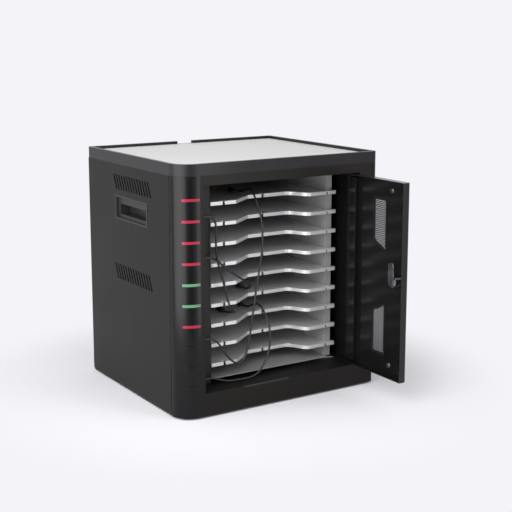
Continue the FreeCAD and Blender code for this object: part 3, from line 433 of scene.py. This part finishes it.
# Feet, cables, and plugs with a bare metal tip on each device connector
footLook = {"deep": (0.008, 0.008, 0.008), "pale": (0.016, 0.016, 0.016), "rough": (0.6, 0.75), "bump": 0.2}
dress(coatMaterial("footRubber", footLook), "rubber_feet")
jacketLook = {
    "deep": (0.005, 0.005, 0.0055), "pale": (0.01, 0.01, 0.0105), "rough": (0.34, 0.46), "bump": 0.05,
}
jacket = coatMaterial("cableJacket", jacketLook)
plugLook = {
    "deep": (0.006, 0.006, 0.0065), "pale": (0.012, 0.012, 0.0125), "rough": (0.36, 0.5),
    "bump": 0.12, "grain": 1500.0, "edge": 0.0004, "specular": 0.4,
}
plugMould = coatMaterial("plugMould", plugLook)
tipLook = {"length": 0.0063, "margin": 0.01, "colour": (0.6, 0.59, 0.57)}
margin = tipLook["margin"]
for name, cord in cables.items():
    cord.data.materials.append(jacket)
    dress(plugMould, name + "_plug")
    low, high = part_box(name + "_connector")
    bareTip = {
        "low": (low.x - margin, high.y - tipLook["length"], low.z - margin),
        "high": (high.x + margin, high.y + margin, high.z + margin),
        "colour": tipLook["colour"],
    }
    dress(coatMaterial("tip_" + name, {**plugLook, "bareAndGlint": bareTip}), name + "_connector")
print("cables dressed")

skinLook = {"sharpAngle": 35}


# A closed skin over grids of points: rows run along a shape and columns go round it. The end rows close on
# their own middle points, or with wrap the last row joins the first. Several copies go into one mesh.
def gridSkin(name, grids, body, material, wrap=False):
    copies, rows, columns = grids.shape[:3]
    points = grids.reshape(copies, -1, 3)
    if not wrap:
        points = np.concatenate([points, grids[:, [0, -1]].mean(axis=2)], axis=1)
    row, column = np.meshgrid(np.arange(rows if wrap else rows - 1), np.arange(columns), indexing="ij")
    above = (row + 1) % rows
    beside = (column + 1) % columns
    quads = np.stack([row * columns + column, row * columns + beside, above * columns + beside,
                      above * columns + column], axis=-1).reshape(-1, 4)
    around = np.arange(columns)
    after = (around + 1) % columns
    last = (rows - 1) * columns
    foot = np.stack([after, around, np.full(columns, rows * columns)], axis=-1)
    head = np.stack([last + around, last + after, np.full(columns, rows * columns + 1)], axis=-1)
    fans = np.concatenate([foot, head])
    corners = points[0][quads] - points[0].mean(axis=0)
    swept = np.cross(corners[:, 1] - corners[:, 0], corners[:, 2] - corners[:, 0])
    if (corners[:, 0] * swept).sum() < 0:  # the signed volume says that the faces point inwards
        quads = quads[:, ::-1]
        fans = fans[:, ::-1]
    offset = (np.arange(copies) * points.shape[1])[:, None, None]
    faces = (quads + offset).reshape(-1, 4).tolist()
    if not wrap:
        faces += (fans + offset).reshape(-1, 3).tolist()
    mesh = bpy.data.meshes.new(name)
    mesh.from_pydata(points.reshape(-1, 3).tolist(), [], faces)
    mesh.polygons.foreach_set("use_smooth", np.ones(len(mesh.polygons), dtype=bool))
    mesh.set_sharp_from_angle(angle=math.radians(skinLook["sharpAngle"]))
    mesh.materials.append(material)
    piece = addObject(name, mesh)
    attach(piece, body)
    return piece


# Soft step from nothing below 0 to one above 1: three times the square less twice the cube
def softStep(value):
    value = np.clip(value, 0, 1)
    return value * value * (3 - 2 * value)


# Rounded oblong outline, a superellipse: cosine and sine, raised to two over the power, keep their signs
def oblong(halfAcross, halfUp, power, count):
    angle = np.linspace(0, 2 * math.pi, count, endpoint=False)
    across = halfAcross * np.sign(np.cos(angle)) * np.abs(np.cos(angle)) ** (2 / power)
    up = halfUp * np.sign(np.sin(angle)) * np.abs(np.sin(angle)) ** (2 / power)
    return across, up


# Rear screws: a pan head turned about its axis, less a cross whose depth falls off from the middle to the
# arms' ends. Its walls slope by a soft step, and each screw has stopped at another angle.
screwLook = {
    "radius": 0.0036, "height": 0.0016, "round": 0.00095, "foot": 0.0008, "hub": 0.00006, "rows": 4,
    "arm": 0.00045, "reach": 0.0018, "depth": 0.0011, "shallow": 0.3, "wall": 0.00014, "leanStep": 2.4,
    "around": 88, "steps": 30, "bendSteps": 7,
}
screwFinish = {**steelLook, "deep": (0.26, 0.26, 0.27), "pale": (0.4, 0.4, 0.41)}
low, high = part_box("rear_screws")
radius, height = screwLook["radius"], screwLook["height"]
arm, reach, wall = screwLook["arm"], screwLook["reach"], screwLook["wall"]
flatRim = radius - screwLook["round"]
bend = np.linspace(0, math.pi / 2, screwLook["bendSteps"])
profileR = np.concatenate([[screwLook["foot"], radius], flatRim + screwLook["round"] * np.cos(bend),
                           np.linspace(flatRim, screwLook["hub"], screwLook["steps"])[1:]])[:, None]
profileH = np.concatenate([[0, 0], height - screwLook["round"] * (1 - np.sin(bend)),
                           np.full(screwLook["steps"] - 1, height)])[:, None]
turn = np.linspace(0, 2 * math.pi, screwLook["around"], endpoint=False)
across = profileR * np.cos(turn)
up = profileR * np.sin(turn)
armOne = softStep((arm - np.abs(across)) / wall + 0.5) * softStep((reach - np.abs(up)) / wall)
armTwo = softStep((arm - np.abs(up)) / wall + 0.5) * softStep((reach - np.abs(across)) / wall)
falling = 1 - (1 - screwLook["shallow"]) * profileR / reach
sunk = np.maximum(armOne, armTwo) * screwLook["depth"] * falling
sunk[:2] = 0  # the underside of the head stays flat
headY = high.y - height + profileH - sunk
screwX = np.repeat([low.x + radius, high.x - radius], screwLook["rows"])
screwZ = np.tile(np.linspace(low.z + radius, high.z - radius, screwLook["rows"]), 2)
lean = (np.arange(len(screwX)) * screwLook["leanStep"])[:, None, None]
screwGrid = np.stack([
    screwX[:, None, None] + across * np.cos(lean) - up * np.sin(lean),
    np.broadcast_to(headY, (len(screwX), *headY.shape)),
    screwZ[:, None, None] + across * np.sin(lean) + up * np.cos(lean),
], axis=-1)
screws = gridSkin("rearScrewHeads", screwGrid, "case", coatMaterial("screwSteel", screwFinish))
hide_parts("rear_screws")
print("screws turned:", len(screwX))

# USB tongues: an oblong section carried straight into each empty socket, with gilt contact strips
tongueLook = {
    "halfWidth": 0.0052, "halfHeight": 0.00085, "lift": 0.0007, "back": 0.0094, "front": 0.0012,
    "nose": 0.0004, "taper": 0.8, "power": 8, "around": 40, "count": 10, "portHalf": 0.0036, "clear": 0.005,
    "strip": 0.0025, "giltFrom": 0.28, "gilt": (0.62, 0.44, 0.16),
}
tongueFinish = {"deep": (0.6, 0.6, 0.6), "pale": (0.72, 0.72, 0.71), "rough": (0.4, 0.5)}
low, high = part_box("usb_ports")
middleY = (low.y + high.y) / 2
portZ = np.linspace(low.z + tongueLook["portHalf"], high.z - tongueLook["portHalf"], tongueLook["count"])
usedZ = np.array([route[0][2] for route in cableRoute.values()])
emptyZ = portZ[np.abs(portZ[:, None] - usedZ).min(axis=1) > tongueLook["clear"]]
acrossBar, upBar = oblong(
    tongueLook["halfWidth"], tongueLook["halfHeight"], tongueLook["power"], tongueLook["around"]
)
runX = np.array([-tongueLook["back"], -tongueLook["front"] - tongueLook["nose"], -tongueLook["front"]])
taper = np.array([1.0, 1.0, tongueLook["taper"]])
tongueGrid = np.stack(np.broadcast_arrays(
    high.x + runX[:, None],
    middleY + taper[:, None] * acrossBar,
    emptyZ[:, None, None] + tongueLook["lift"] + taper[:, None] * upBar,
), axis=-1)
tonguePlastic = coatMaterial("tonguePlastic", tongueFinish)
tree = tonguePlastic.node_tree
shader = tree.nodes["Principled BSDF"]
sideways = mathNode(tree, "SUBTRACT", splitNode(tree, objectCoords(tree))[1], middleY)
phase = mathNode(tree, "DIVIDE", sideways, tongueLook["strip"])
gilt = mathNode(tree, "GREATER_THAN", mathNode(tree, "PINGPONG", phase, 0.5), tongueLook["giltFrom"])
plainTone = shader.inputs["Base Color"].links[0].from_socket
tree.links.new(mixColour(tree, gilt, plainTone, opaque(tongueLook["gilt"])), shader.inputs["Base Color"])
tree.links.new(gilt, shader.inputs["Metallic"])
gridSkin("usbTongues", tongueGrid, "case", tonguePlastic)
print("tongues set:", len(emptyZ))

# Switch marks: a short bar and a ring, each raised a little from its half of the rocker, which leans at rest.
# The bar is an oblong carried outwards, and the ring a flattened round section carried round a circle.
markLook = {
    "axle": (-0.146, 0.1621, 0.108), "valley": 0.0056, "tilt": 10.0, "barAt": 0.0034, "ringAt": 0.0034,
    "barLong": 0.0014, "barWide": 0.0003, "barPower": 5, "barAround": 36, "root": 0.0002, "shoulder": 0.6,
    "crown": 0.8, "ring": 0.0012, "wire": 0.00028, "ringAround": 48, "wireAround": 16, "proud": 0.00008,
}
markFinish = {"deep": (0.6, 0.6, 0.6), "pale": (0.75, 0.75, 0.74), "rough": (0.4, 0.5)}
markPaint = coatMaterial("markPaint", markFinish)
tilt = math.radians(markLook["tilt"])
axleX, axleY, axleZ = markLook["axle"]
foldY = axleY + markLook["valley"] * math.cos(tilt)
foldZ = axleZ + markLook["valley"] * math.sin(tilt)
proud = markLook["proud"]
acrossBar, upBar = oblong(
    markLook["barWide"], markLook["barLong"], markLook["barPower"], markLook["barAround"]
)
rise = np.array([-markLook["root"], proud * markLook["shoulder"], proud])
shrink = np.array([1.0, 1.0, markLook["crown"]])
barGrid = np.stack(np.broadcast_arrays(
    axleX + shrink[:, None] * acrossBar,
    foldY + rise[:, None],
    foldZ + markLook["barAt"] + shrink[:, None] * upBar,
), axis=-1)
gridSkin("switchBar", barGrid[None], "rocker", markPaint)
around = np.linspace(0, 2 * math.pi, markLook["ringAround"], endpoint=False)[:, None]
section = np.linspace(0, 2 * math.pi, markLook["wireAround"], endpoint=False)
ringR = markLook["ring"] + markLook["wire"] * np.cos(section)
lift = proud * np.sin(section)
ringUp = -markLook["ringAt"] + ringR * np.sin(around)
ringGrid = np.stack(np.broadcast_arrays(
    axleX + ringR * np.cos(around),
    foldY - ringUp * math.sin(2 * tilt) + lift * math.cos(2 * tilt),
    foldZ + ringUp * math.cos(2 * tilt) + lift * math.sin(2 * tilt),
), axis=-1)
gridSkin("switchRing", ringGrid[None], "rocker", markPaint, wrap=True)
print("switch marked")


# One for the rays that show a surface: straight to the camera, or mirrored or passed on to it
def seenRays(tree):
    path = addNode(tree, "ShaderNodeLightPath").outputs
    mirrored = mathNode(tree, "MAXIMUM", path["Is Glossy Ray"], path["Is Transmission Ray"])
    return mathNode(tree, "MAXIMUM", path["Is Camera Ray"], mirrored)


# Floor: pale and shadow-catching near the cabinet, running out into the same white as the backdrop
stageLook = {
    "white": (0.896, 0.896, 0.939), "floor": (0.74, 0.74, 0.775), "near": 0.2, "far": 0.52, "half": 9.0,
    "level": 0.56,
}
floorMesh = bpy.data.meshes.new("studioFloor")
floorSides = np.array([(-1, -1), (1, -1), (1, 1), (-1, 1)]) * stageLook["half"]
floorMesh.from_pydata(np.c_[floorSides, np.full(4, floorLevel)].tolist(), [], [(0, 1, 2, 3)])
addObject("studioFloor", floorMesh)
floorMat, tree = newMaterial("studioFloor")
tree.nodes.remove(tree.nodes["Principled BSDF"])
matte = addNode(tree, "ShaderNodeBsdfDiffuse", {"Color": opaque(stageLook["floor"])})
white = addNode(tree, "ShaderNodeEmission", {"Color": opaque(stageLook["white"]), "Strength": 1.0})
distance = addNode(tree, "ShaderNodeVectorMath", {0: objectCoords(tree)}, operation="LENGTH").outputs["Value"]
outward = addNode(tree, "ShaderNodeMapRange", {
    "Value": distance, "From Min": stageLook["near"], "From Max": stageLook["far"],
}, interpolation_type="SMOOTHSTEP").outputs[0]
shown = mathNode(tree, "MULTIPLY", outward, seenRays(tree))
blend = addNode(tree, "ShaderNodeMixShader", {0: shown, 1: matte.outputs[0], 2: white.outputs[0]})
tree.links.new(blend.outputs[0], tree.nodes["Material Output"].inputs["Surface"])
floorMesh.materials.append(floorMat)

# Dark card in front of the cabinet: only reflections show it, so that the rounded corner gets its dark band
cardLook = {
    "left": -0.4, "right": -0.125, "distance": -0.62, "lift": 0.001, "height": 0.6,
    "tone": (0.16, 0.16, 0.17),
}
cardMesh = bpy.data.meshes.new("darkCard")
cardFoot = floorLevel + cardLook["lift"]
cardLow = [(cardLook[side], cardLook["distance"], cardFoot) for side in ("left", "right")]
cardHigh = [(x, y, z + cardLook["height"]) for x, y, z in reversed(cardLow)]
cardMesh.from_pydata(cardLow + cardHigh, [], [(3, 2, 1, 0)])
card = addObject("darkCard", cardMesh)
card.visible_camera = False
card.visible_diffuse = False
card.visible_transmission = False
card.visible_shadow = False
cardMat, tree = newMaterial("darkCard")
tree.nodes["Principled BSDF"].inputs["Base Color"].default_value = opaque(cardLook["tone"])
cardMesh.materials.append(cardMat)

# World: white where it is seen, a plain grey level for the light
world = bpy.data.worlds.new("studioWorld")
scene.world = world
world.use_nodes = True
tree = world.node_tree
plain = tree.nodes["Background"]
plain.inputs["Color"].default_value = (1, 1, 1, 1)
plain.inputs["Strength"].default_value = stageLook["level"]
backdrop = addNode(tree, "ShaderNodeBackground", {"Color": opaque(stageLook["white"]), "Strength": 1.0})
blend = addNode(tree, "ShaderNodeMixShader", {0: seenRays(tree), 1: plain.outputs[0], 2: backdrop.outputs[0]})
tree.links.new(blend.outputs[0], tree.nodes["World Output"].inputs["Surface"])

# Lamps: a broad soft key from the upper left, a wide low box on the left and a thin strip in front, which the
# round corner mirrors, and a weak fill from the front right
lampLook = {
    "keyLamp": {
        "place": (-1.7, -0.9, 1.9), "aim": (0, 0, 0.2), "size": (1.6, 1.6), "watts": 36.0, "spread": 180,
    },
    "stripLamp": {
        "place": (-0.67, -0.28, 0.36), "aim": (-0.16, -0.135, 0.34), "size": (0.76, 0.7), "watts": 3.2,
        "spread": 110,
    },
    "edgeLamp": {
        "place": (0.09, -0.62, 0.3), "aim": (-0.157, -0.167, 0.28), "size": (0.1, 0.6), "watts": 0.6,
        "spread": 180,
    },
    "fillLamp": {
        "place": (1.5, -1.9, 1.2), "aim": (0, 0, 0.2), "size": (1.8, 1.8), "watts": 16.0, "spread": 180,
    },
}
for name, look in lampLook.items():
    lampData = bpy.data.lights.new(name, "AREA")
    lampData.shape = "RECTANGLE"
    lampData.size, lampData.size_y = look["size"]
    lampData.energy = look["watts"]
    lampData.spread = math.radians(look["spread"])
    lamp = addObject(name, lampData)
    ahead = np.array(look["aim"]) - np.array(look["place"])
    level = math.hypot(ahead[0], ahead[1])
    lamp.location = look["place"]
    lamp.rotation_euler = (math.atan2(level, -ahead[2]), 0, math.atan2(-ahead[0], ahead[1]))
    lamp.visible_camera = False
print("stage lit")

bpy.context.view_layer.update()
